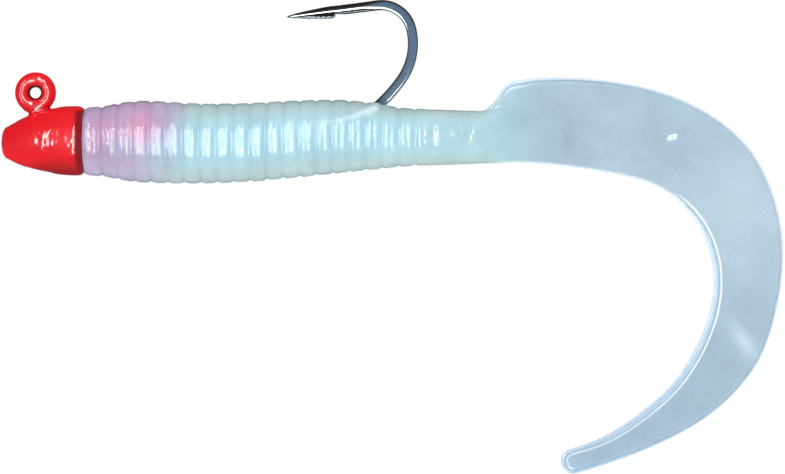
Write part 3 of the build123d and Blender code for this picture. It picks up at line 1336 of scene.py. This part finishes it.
@dataclass
class JigHook:
    """Round nickelled wire, bent and then pressed flat round the bend, sizes in mm.

    Distances along the wire count from the eye's foot, those named back from the point's tip.
    """

    shank_drop: float = 7.2
    around: int = 72
    step: float = 0.16
    start: Point = (0.57, -1.8)
    neck_bend: float = 1.6
    shank_end: float = 37.3
    bends: Stations = ((21.4, 55.7), (9.3, 48.8), (4.6, 82.8))
    point_run: float = 13.7
    point_halves: Stations = (
        (0, 0.05), (0.5, 0.2), (2.3, 0.46), (4.6, 0.66), (6.6, 0.78), (7.4, 0.75), (14, 0.75),
    )
    spur_back: float = 7.0
    spur_rise: float = 0.3
    notch_depth: float = 0.22
    barb_end: float = 9.5
    cut_depth: float = 0.05
    cut_place: float = 5.2
    press: float = 0.16
    press_spread: float = 0.02
    press_power: float = 4.0
    press_start: float = 14.0
    press_length: float = 24.0

    @property
    def route(self) -> Route:
        """Middle line of the wire.

        Returns:
            The route from the eye's foot to the point's tip.
        """
        drop = self.shank_drop + self.start[1] - self.neck_bend
        shank = self.shank_end - self.start[0] - self.neck_bend
        runs = ((drop, 0.0), bend(self.neck_bend, 90), (shank, 0.0))
        runs += tuple(bend(radius, turn) for radius, turn in self.bends)
        return Route(self.start, -90, runs + ((self.point_run, 0.0),))

    def pressed(self, distance: float) -> float:
        """How much the wire is pressed flat.

        Args:
            distance: Distance along the wire.

        Returns:
            A share from 0, round, to 1, flat.
        """
        begin = sum(length for length, _ in self.route.runs[:3]) + self.press_start
        return ease((distance - begin) / 3) * ease((begin + self.press_length - distance) / 5)

    def corner(self, route: Route, distance: float, angle: float) -> Vector:
        """One corner of the wire's skin.

        Args:
            route: The wire's middle line.
            distance: Millimetres from the eye's foot.
            angle: Round the wire, from the side that faces the gap.

        Returns:
            The corner, in metres.
        """
        x, z, heading = route.at(distance)
        pressed = self.pressed(distance)
        back = route.length - distance
        half = flowing(self.point_halves, back)
        power = 2 + self.press_power * pressed
        up = self.squared(cos(angle), power) * (half + self.press_spread * pressed)
        across = self.squared(sin(angle), power) * (half - self.press * pressed)
        if back < self.barb_end and cos(angle) > 0:
            up += self.barb(back) * cos(angle) ** 3
            across *= 1 - 0.35 * ease(back / 3) * ease((7.4 - back) / 0.4) * cos(angle) ** 2
        inward = (-sin(radians(heading)), cos(radians(heading)))
        return Vector((x + inward[0] * up, across, z + inward[1] * up)) * MM

    def barb(self, back: float) -> float:
        """Rise of the barb over the round wire, with the notch behind it and rough cuts on it.

        Args:
            back: Distance back from the point's tip.

        Returns:
            The rise, below 0 in the notch.
        """
        spur = self.spur_rise * ease(back / self.spur_back)
        spur *= ease((self.spur_back + 0.35 - back) / 0.35)
        notch = self.notch_depth * ease((back - self.spur_back - 0.1) / 0.25)
        notch *= 1 - ease((back - self.spur_back - 0.5) / 1.6)
        cuts = self.cut_depth * sin(back * 9.0) * bell(back - self.cut_place, 1.4)
        return spur - notch + cuts

    @staticmethod
    def squared(value: float, power: float) -> float:
        """Cosine or sine pushed out towards a flatter side."""
        return (1 if value >= 0 else -1) * abs(value) ** (2 / power)

    def build(self, material: bpy.types.Material) -> bpy.types.Object:
        """Build the wire with its point and barb.

        Args:
            material: Finish of the wire.

        Returns:
            The hook.
        """
        route = self.route
        count = round(route.length / self.step)
        corners: list[Vector] = []
        faces: list[list[int]] = []
        for i in range(count + 1):
            distance = route.length * i / count
            corners += [
                self.corner(route, distance, 2 * pi * j / self.around) for j in range(self.around)
            ]
            if i:
                faces += ring_faces((i - 1) * self.around, i * self.around, self.around)
        faces.append(list(range(self.around)))
        faces.append([count * self.around + j for j in range(self.around)][::-1])
        hook = new_object("nickel_hook", corners, faces)
        hook.data.materials.append(material)
        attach(hook, "rig")
        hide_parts("jig_hook")
        LOG.info("nickel_hook: %d corners", len(corners))
        return hook


# ---- the head ------------------------------------------------------------------------------------


@dataclass
class JigHead:
    """Bullet head and line eye under one heavy coat of enamel, sizes in mm.

    Attributes:
        nose: X of the nose's tip.
        back: X of the rear face.
        axis_z: Height of the head's axis.
        outline: Share of the length and share of the radius at stations behind the nose.
        drips: X, Z and width of the beads of paint on the near side.
    """

    nose: float
    back: float
    axis_z: float
    radius: float = 5.25
    shoulder: float = 1.2
    outline: Stations = ((0.075, 0.44), (0.215, 0.63), (0.46, 0.84), (0.71, 0.97))
    eye_radius: float = 1.96
    eye_wire: float = 1.14
    eye_steps: tuple[int, int] = (72, 32)
    flare_foot: float = 2.3
    flare_x: float = 0.57
    flare_reach: Point = (1.1, 0.85)
    flare_rings: int = 12
    droop: float = 0.42
    under_eye: float = -2.5
    drips: tuple[tuple[float, float, float], ...] = (
        (-4.0, -7.8, 0.35), (-3.7, -5.6, 0.3), (1.5, -8.85, 0.45),
    )
    drip_rise: float = 0.12
    wave_rise: float = 0.05
    ripple_rise: float = 0.02
    around: int = 96
    voxel: float = 0.13
    flow_steps: int = 14

    def profile(self) -> list[Point]:
        """Outline of the head: a blunt nose, a bullet's side and a rounded shoulder.

        Returns:
            X and radius from the nose to the rear face.
        """
        length = self.back - self.nose
        rim = length - self.shoulder
        knots = ((0.0, 0.0), *((a * length, b * self.radius) for a, b in self.outline))
        knots += ((rim, self.radius),)
        points = [(0.0, 0.0)]
        for i in range(1, 10):
            angle = pi / 2 * i / 10
            points.append((knots[1][0] * (1 - cos(angle)), knots[1][1] * sin(angle)))
        for i in range(1, 60):
            place = knots[1][0] + (rim - knots[1][0]) * i / 60
            points.append((place, flowing(knots[1:], place)))
        for i in range(9):
            angle = pi / 2 * i / 8
            points.append((rim + self.shoulder * sin(angle),
                           self.radius - self.shoulder * (1 - cos(angle))))
        return [(self.nose + x, r) for x, r in points] + [(self.back, 0.0)]

    def build(self, material: bpy.types.Material) -> bpy.types.Object:
        """Build the coat as one skin over head, neck and eye.

        Args:
            material: Finish of the coat.

        Returns:
            The head.
        """
        corners: list[Vector] = []
        faces: list[list[int]] = []
        self.turn(corners, faces, self.profile())
        self.ring(corners, faces)
        self.flare(corners, faces)
        head = new_object("enamelled_head", corners, faces)
        self.fuse(head)
        self.pool(head)
        head.data.materials.append(material)
        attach(head, "rig")
        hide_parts("paint_coat")
        LOG.info("enamelled_head: %d corners", len(head.data.vertices))
        return head

    def turn(self, corners: list[Vector], faces: list[list[int]], profile: list[Point]) -> None:
        """Add a solid turned about the head's axis.

        Args:
            corners: Corners so far, which the solid's are added to.
            faces: Faces so far, which the solid's are added to.
            profile: X and radius along the axis.
        """
        first = len(corners)
        for x, radius in profile[1:-1]:
            for j in range(self.around):
                angle = 2 * pi * j / self.around
                corners.append(
                    Vector((x, radius * sin(angle), self.axis_z + radius * cos(angle))) * MM
                )
        rings = len(profile) - 2
        for step in range(rings - 1):
            faces += ring_faces(first + step * self.around, first + (step + 1) * self.around,
                                self.around)
        faces.append([first + j for j in range(self.around)])
        last = first + (rings - 1) * self.around
        faces.append([last + j for j in range(self.around)][::-1])

    def ring(self, corners: list[Vector], faces: list[list[int]]) -> None:
        """Add the painted line eye.

        Args:
            corners: Corners so far, which the eye's are added to.
            faces: Faces so far, which the eye's are added to.
        """
        first = len(corners)
        big, small = self.eye_steps
        for i in range(big):
            turn = 2 * pi * i / big
            for j in range(small):
                angle = 2 * pi * j / small
                reach = self.eye_radius + self.eye_wire * cos(angle)
                corners.append(
                    Vector((reach * cos(turn), self.eye_wire * sin(angle), reach * sin(turn))) * MM
                )
        for i in range(big):
            faces += ring_faces(first + i * small, first + (i + 1) % big * small, small)

    def flare(self, corners: list[Vector], faces: list[list[int]]) -> None:
        """Add the foot of paint that pools between eye and head.

        Args:
            corners: Corners so far, which the foot's are added to.
            faces: Faces so far, which the foot's are added to.
        """
        first = len(corners)
        top = -self.eye_radius - 0.2
        foot = self.axis_z + self.flare_foot
        rings = self.flare_rings
        along, aside = self.flare_reach
        for i in range(rings + 1):
            share = i / rings
            z = top + (foot - top) * share
            reach = 1.0 + 1.5 * share**2.2
            for j in range(self.around):
                angle = 2 * pi * j / self.around
                x = self.flare_x * share + along * reach * cos(angle)
                corners.append(Vector((x, aside * reach * sin(angle), z)) * MM)
            if i:
                start = first + (i - 1) * self.around
                faces += ring_faces(start, start + self.around, self.around)
        faces.append([first + j for j in range(self.around)][::-1])
        faces.append([first + rings * self.around + j for j in range(self.around)])

    def fuse(self, head: bpy.types.Object) -> None:
        """Join the overlapping shapes into one skin with flowing fillets.

        Args:
            head: The object that holds them.
        """
        remesh = head.modifiers.new("fuse", "REMESH")
        remesh.mode = "VOXEL"
        remesh.voxel_size = self.voxel * MM
        smooth = head.modifiers.new("flow", "SMOOTH")
        smooth.factor = 0.5
        smooth.iterations = self.flow_steps
        settled = head.evaluated_get(bpy.context.evaluated_depsgraph_get())
        mesh = bpy.data.meshes.new_from_object(settled)
        head.modifiers.clear()
        head.data = mesh
        mesh.shade_smooth()

    def pool(self, head: bpy.types.Object) -> None:
        """Raise the drips and waves that the paint set with, and let the nose sag a little.

        Args:
            head: The head, which also gets its painted shade.
        """
        normals = [v.normal.copy() for v in head.data.vertices]
        for vertex, normal in zip(head.data.vertices, normals):
            spot = vertex.co / MM
            rise = self.wave_rise * noise.noise(spot * 0.55)
            rise += self.ripple_rise * noise.noise(spot * 1.6)
            if spot.y < 0:
                for x, z, width in self.drips:
                    rise += self.drip_rise * bell(hypot(spot.x - x, spot.z - z), width)
            vertex.co += normal * rise * MM
            if spot.z < self.under_eye:
                under = 0.45 + 0.55 * ease((self.axis_z + 1.5 - spot.z) / 2.5)
                vertex.co.z -= self.droop * under * ease((2.5 - spot.x) / 7.5) * MM
        enamel_shade = head.data.attributes.new("enamel_shade", "FLOAT", "POINT")
        enamel_shade.data.foreach_set("value", [self.shade_of(v.co / MM) for v in head.data.vertices])

    def shade_of(self, spot: Vector) -> float:
        """How much painted shade darkens the enamel: at the rear rim, underneath, in the eye.

        Args:
            spot: The spot, in millimetres.

        Returns:
            A share from 0 to 1.
        """
        # Painted shade where the rear rim turns away, under the head, and in the eye's bore.
        rear = ease((spot.x - self.back + 1.45) / 0.6) * ease((self.under_eye - spot.z) / 0.5)
        under = 0.75 * ease((self.axis_z - 1.8 - spot.z) / 3.4) * ease((spot.x + 4) / 6)
        bore = 1 - ease((hypot(spot.x, spot.z) - 0.95) / 0.4)
        return min(max(rear * 0.8, under, bore), 1.0)


# ---- studio --------------------------------------------------------------------------------------


@dataclass(frozen=True)
class Softbox:
    """One rectangular light.

    Attributes:
        name: The light's name.
        offset: Place relative to the aim, in metres.
        size: Width and height, in metres.
        power: Power in watts.
        kind: What the light is for.
    """

    name: str
    offset: tuple[float, float, float]
    size: Point
    power: float
    kind: Light

    def add(self, aim: Vector) -> bpy.types.Object:
        """Add the light.

        Args:
            aim: Point that it faces, in metres.

        Returns:
            The light's object.
        """
        data = bpy.data.lights.new(self.name, "AREA")
        data.shape = "RECTANGLE"
        data.size, data.size_y = self.size
        data.energy = self.power
        light = bpy.data.objects.new(self.name, data)
        bpy.context.scene.collection.objects.link(light)
        light.location = aim + Vector(self.offset)
        soft = self.kind is Light.SOFT
        if soft:
            light.rotation_euler = Vector(self.offset).to_track_quat("Z", "Y").to_euler()
        else:
            # A mirrored strip stands upright and only turns about the vertical.
            light.rotation_euler = (pi / 2, 0, atan2(-self.offset[0], self.offset[1]) + pi)
        light.visible_camera = False
        light.visible_glossy = not soft
        light.visible_diffuse = soft
        light.visible_transmission = soft
        return light


@dataclass
class Studio:
    """Pale floor, soft lights and a camera square on to the rig's side.

    Attributes:
        aim: Point that the camera looks at, in metres.
        span: Width that the view takes in at that point, in metres.
        floor_z: Height of the floor, in metres.
        plated: The bright hook, which has a light of its own.
        ribbed: The ribbed pieces of the body, which have two more strips.
        gloss_sky: Bands that bright metal mirrors, from straight down to straight up.
    """

    aim: Vector
    span: float
    floor_z: float
    plated: bpy.types.Object
    ribbed: list[bpy.types.Object]
    distance: float = 0.38
    sensor_mm: float = 36.0
    floor_reach: float = 6.0
    floor_glow: float = 0.62
    sky_fill: float = 0.55
    gloss_sky: tuple[tuple[float, str], ...] = (
        (0.0, "3a3530"), (0.14, "1c1815"), (0.2, "14110f"), (0.25, "14110f"), (0.3, "5c7288"),
        (0.5, "86a3bd"), (0.56, "7390ad"), (0.64, "57524d"), (1.0, "2c2926"),
    )
    lights: tuple[Softbox, ...] = (
        Softbox("front_fill", (0.0, -0.60, 0.10), (0.4, 0.3), 0.68, Light.SOFT),
        Softbox("top_fill", (0.03, -0.10, 0.50), (0.5, 0.4), 2.2, Light.SOFT),
        Softbox("rear_fill", (0.03, 0.60, 0.0), (0.6, 0.5), 1.6, Light.SOFT),
        Softbox("strip", (-0.095, -0.60, 0.0), (0.04, 1.0), 3.4, Light.MIRRORED),
        Softbox("tall_strip", (-0.01, -0.60, 0.13), (0.04, 1.26), 3.4, Light.MIRRORED),
        Softbox("left_strip", (-0.22, -0.60, 0.0), (0.05, 1.0), 3.4, Light.BODY),
        Softbox("right_strip", (0.09, -0.60, 0.13), (0.05, 1.26), 2.5, Light.BODY),
        Softbox("window", (-0.42, -0.55, 0.15), (0.075, 0.60), 2.6, Light.MIRRORED),
        Softbox("hook_card", (-0.085, -0.60, -0.165), (0.33, 0.37), 1.9, Light.PLATE),
    )

    def build(self) -> None:
        """Set up floor, world, lights and camera."""
        bpy.context.scene.view_settings.view_transform = "Standard"
        self.floor()
        self.world()
        for softbox in self.lights:
            light = softbox.add(self.aim)
            if softbox.kind is not Light.SOFT:
                self.flag(light, softbox.kind)
        self.camera()

    def floor(self) -> None:
        """Add the floor, far larger than any view of it."""
        reach = self.floor_reach
        corners = [Vector((sx * reach, sy * reach, self.floor_z))
                   for sx, sy in ((-1, -1), (1, -1), (1, 1), (-1, 1))]
        floor = new_object("studio_floor", corners, [[0, 1, 2, 3]])
        material, tree = empty_material("floor_card")
        skin = add_node(
            tree, "ShaderNodeBsdfPrincipled",
            {
                "Base Color": linear("eeeeee"), "Roughness": 0.9, "Specular IOR Level": 0.0,
                "Emission Color": linear("ffffff"), "Emission Strength": self.floor_glow,
            },
        ).outputs["BSDF"]
        add_node(tree, "ShaderNodeOutputMaterial", {}, {"Surface": skin})
        floor.data.materials.append(material)
        floor.visible_glossy = False
        floor.visible_shadow = False
        floor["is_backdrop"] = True

    def world(self) -> None:
        """Light the studio with plain white, and give bright metal darker bands to mirror."""
        world = bpy.data.worlds.new("studio")
        bpy.context.scene.world = world
        world.use_nodes = True
        tree = world.node_tree
        tree.nodes.clear()
        path = add_node(tree, "ShaderNodeLightPath")
        towards = add_node(tree, "ShaderNodeTexCoord").outputs["Generated"]
        parts = add_node(tree, "ShaderNodeSeparateXYZ", {}, {"Vector": towards})
        height = parts.outputs["Z"]
        aside = add_node(
            tree, "ShaderNodeMath", {"operation": "ABSOLUTE"}, {0: parts.outputs["X"]}
        ).outputs["Value"]
        flagged = add_node(
            tree, "ShaderNodeMapRange",
            {"From Min": 0.55, "From Max": 0.75, "To Min": 0.85, "To Max": 0.12}, {"Value": aside},
        ).outputs["Result"]
        level = add_node(
            tree, "ShaderNodeMapRange", {"From Min": -1.0, "From Max": 1.0}, {"Value": height}
        ).outputs["Result"]
        bands = add_node(tree, "ShaderNodeValToRGB", {}, {"Fac": level})
        ramp = bands.color_ramp
        while len(ramp.elements) < len(self.gloss_sky):
            ramp.elements.new(0.5)
        for element, (place, colour) in zip(ramp.elements, self.gloss_sky):
            element.position = place
            element.color = linear(colour)
        mirrored = add_node(
            tree, "ShaderNodeBackground", {},
            {"Color": bands.outputs["Color"], "Strength": flagged},
        ).outputs["Background"]
        fill = add_node(
            tree, "ShaderNodeBackground", {"Color": linear("f6f9ff"), "Strength": self.sky_fill}
        ).outputs["Background"]
        seen = add_node(
            tree, "ShaderNodeBackground", {"Color": linear("ffffff"), "Strength": 1.0}
        ).outputs["Background"]
        glossy = add_node(
            tree, "ShaderNodeMixShader", {}, {0: path.outputs["Is Glossy Ray"], 1: fill, 2: mirrored}
        ).outputs["Shader"]
        mixed = add_node(
            tree, "ShaderNodeMixShader", {}, {0: path.outputs["Is Camera Ray"], 1: glossy, 2: seen}
        ).outputs["Shader"]
        add_node(tree, "ShaderNodeOutputWorld", {}, {"Surface": mixed})

    def flag(self, light: bpy.types.Object, kind: Light) -> None:
        """Keep a mirrored light off the plated hook, or keep another kind to its own pieces.

        Args:
            light: The light.
            kind: What it is for.
        """
        group = bpy.data.collections.new(f"{light.name}_flag")
        for piece in self.ribbed if kind is Light.BODY else [self.plated]:
            group.objects.link(piece)
        state = "EXCLUDE" if kind is Light.MIRRORED else "INCLUDE"
        for member in group.collection_objects:
            member.light_linking.link_state = state
        light.light_linking.receiver_collection = group

    def camera(self) -> None:
        """Add the camera, level and square on."""
        data = bpy.data.cameras.new("camera")
        data.sensor_width = self.sensor_mm
        data.lens = self.sensor_mm * self.distance / self.span
        camera = bpy.data.objects.new("camera", data)
        bpy.context.scene.collection.objects.link(camera)
        camera.location = self.aim - Vector((0, self.distance, 0))
        camera.rotation_euler = (pi / 2, 0, 0)
        bpy.context.scene.camera = camera


def main() -> None:
    """Dress the frame piece by piece."""
    logging.basicConfig(level=logging.INFO, format="%(name)s: %(message)s")
    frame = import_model()
    cad_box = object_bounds()
    joints = list(frame["record"]["behaviour"]["joints"])

    head_low, head_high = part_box("paint_coat")
    lead_low, lead_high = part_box("lead_head")
    body_low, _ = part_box("worm_body_front")
    axis_z = (lead_low[2] + lead_high[2]) / 2 / MM
    # In millimetres: the ribbon's root lies lead_in ahead of its first joint. The paint laps over
    # the head's rear edge by paint_lap, and head and worm are pushed back together by snug.
    lead_in = 3.0
    paint_lap = 0.16
    snug = 0.35
    first_sway = next(j for j in joints if j["name"] == "ribbon_sway_1")["pos_m"]
    heading = radians(Worm.ribbon_heading)
    root = (first_sway[0] / MM - lead_in * cos(heading), first_sway[2] / MM - lead_in * sin(heading))

    worm = Worm(joints=joints, front=body_low[0] / MM + snug, axis_z=axis_z, ribbon_root=root)
    pieces = worm.build(PouredPlastisol().make())
    nodes = ["worm_body_front", "worm_body_rear", "tail_neck"]
    nodes += [f"tail_ribbon_{i}" for i in range(1, len(pieces) - 2)]
    for piece, node in zip(pieces, nodes):
        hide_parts(node)

    hook = JigHook().build(NickelPlate().make())
    back = head_high[0] / MM + paint_lap + snug
    JigHead(nose=head_low[0] / MM, back=back, axis_z=axis_z).build(BakedEnamel().make())

    lead = frame["nodes"]["lead_head"]
    lead.data.materials.clear()
    lead.data.materials.append(CastLead().make())

    low, high = cad_box
    aim_x, aim_z, floor_drop = -0.25 * MM, -0.6 * MM, 15 * MM
    aim = Vector(((low[0] + high[0]) / 2 + aim_x, 0, (low[2] + high[2]) / 2 + aim_z))
    studio = Studio(aim=aim, span=high[0] - low[0], floor_z=low[2] - floor_drop, plated=hook,
                    ribbed=pieces[:2])
    studio.build()


if __name__ == "__main__":
    main()
